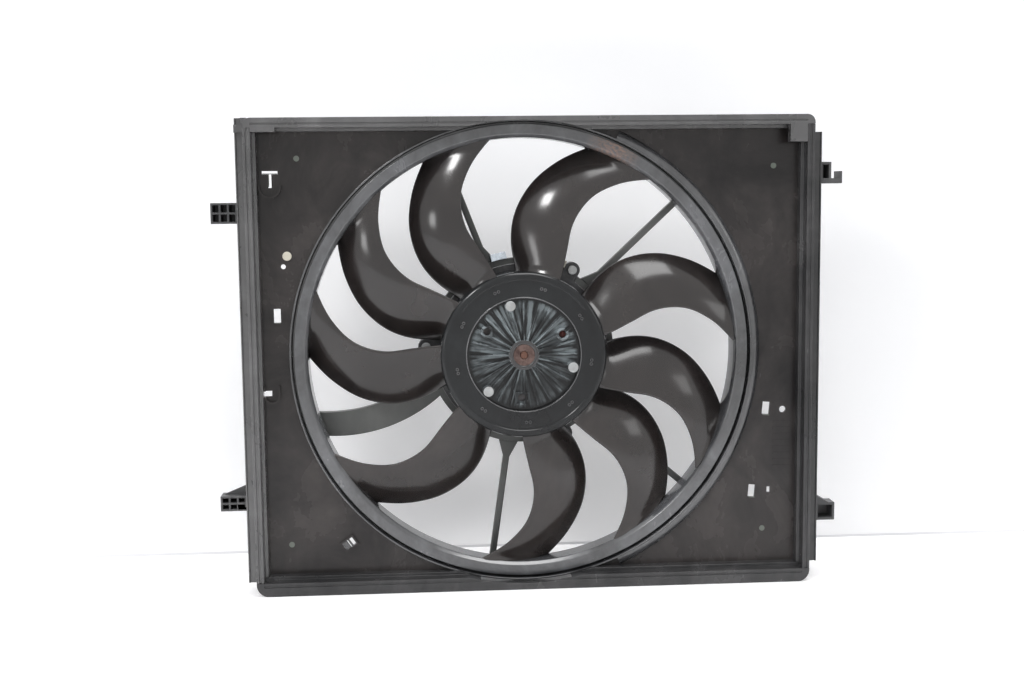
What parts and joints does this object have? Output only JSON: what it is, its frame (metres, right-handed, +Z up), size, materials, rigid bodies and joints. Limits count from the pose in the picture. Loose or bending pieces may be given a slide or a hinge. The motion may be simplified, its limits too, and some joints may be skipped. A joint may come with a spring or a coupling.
{
  "type": "radiator fan shroud",
  "caption": "Rectangular moulded shroud with a round duct, carrying a swept-blade cooling fan driven by an electric motor on struts.",
  "frame": {"origin": "centre of the bottom face that the shroud stands on, at half the width between its side flanges", "axes": "+Z up, -Y towards the radiator, +X to the right as seen from the radiator"},
  "size_m": [0.6156, 0.088, 0.466],
  "materials": {
    "shroud": "satin moulded black",
    "fan": "satin to gloss moulded black",
    "steel": "zinc plated",
    "shaft": "lightly rusted steel",
    "magnet": "matte ferrite",
    "alloy": "as cast",
    "laminate": "laminated steel",
    "copper": "enamelled copper wire",
    "board": "solder mask green",
    "package": "moulded epoxy",
    "clip": "natural cream",
    "contact": "tinned brass"
  },
  "bodies": {
    "shroud": {"top_rail": "shroud", "bottom_rail": "shroud", "left_rail": "shroud", "right_rail": "shroud", "shroud_panel": "shroud", "panel_ribs": "shroud", "fan_duct": "shroud", "carrier_ring": "shroud", "struts": "shroud", "cable_strut": "shroud", "left_mount_tabs": "shroud", "right_mount_hooks": "shroud", "motor_socket": "shroud", "motor_screws": "steel", "bearings": "steel", "push_plug": "clip", "wire_clips": "clip", "motor_base": "alloy", "motor_cover": "alloy", "stator_core": "laminate", "stator_windings": "copper", "control_board": "board", "power_transistors": "package", "socket_pins": "contact"},
    "rotor": {"fan_hub": "fan", "fan_blades": "fan", "fan_ring": "fan", "hub_screws": "steel", "hub_bush": "shaft", "shaft": "shaft", "rotor_can": "steel", "rotor_magnets": "magnet"}
  },
  "joints": [
    {"name": "fan_spin", "type": "hinge", "parent": "shroud", "child": "rotor", "pos_m": [-0.01, -0.001, 0.2345], "axis": [0, 1, 0], "continuous": true}
  ]
}
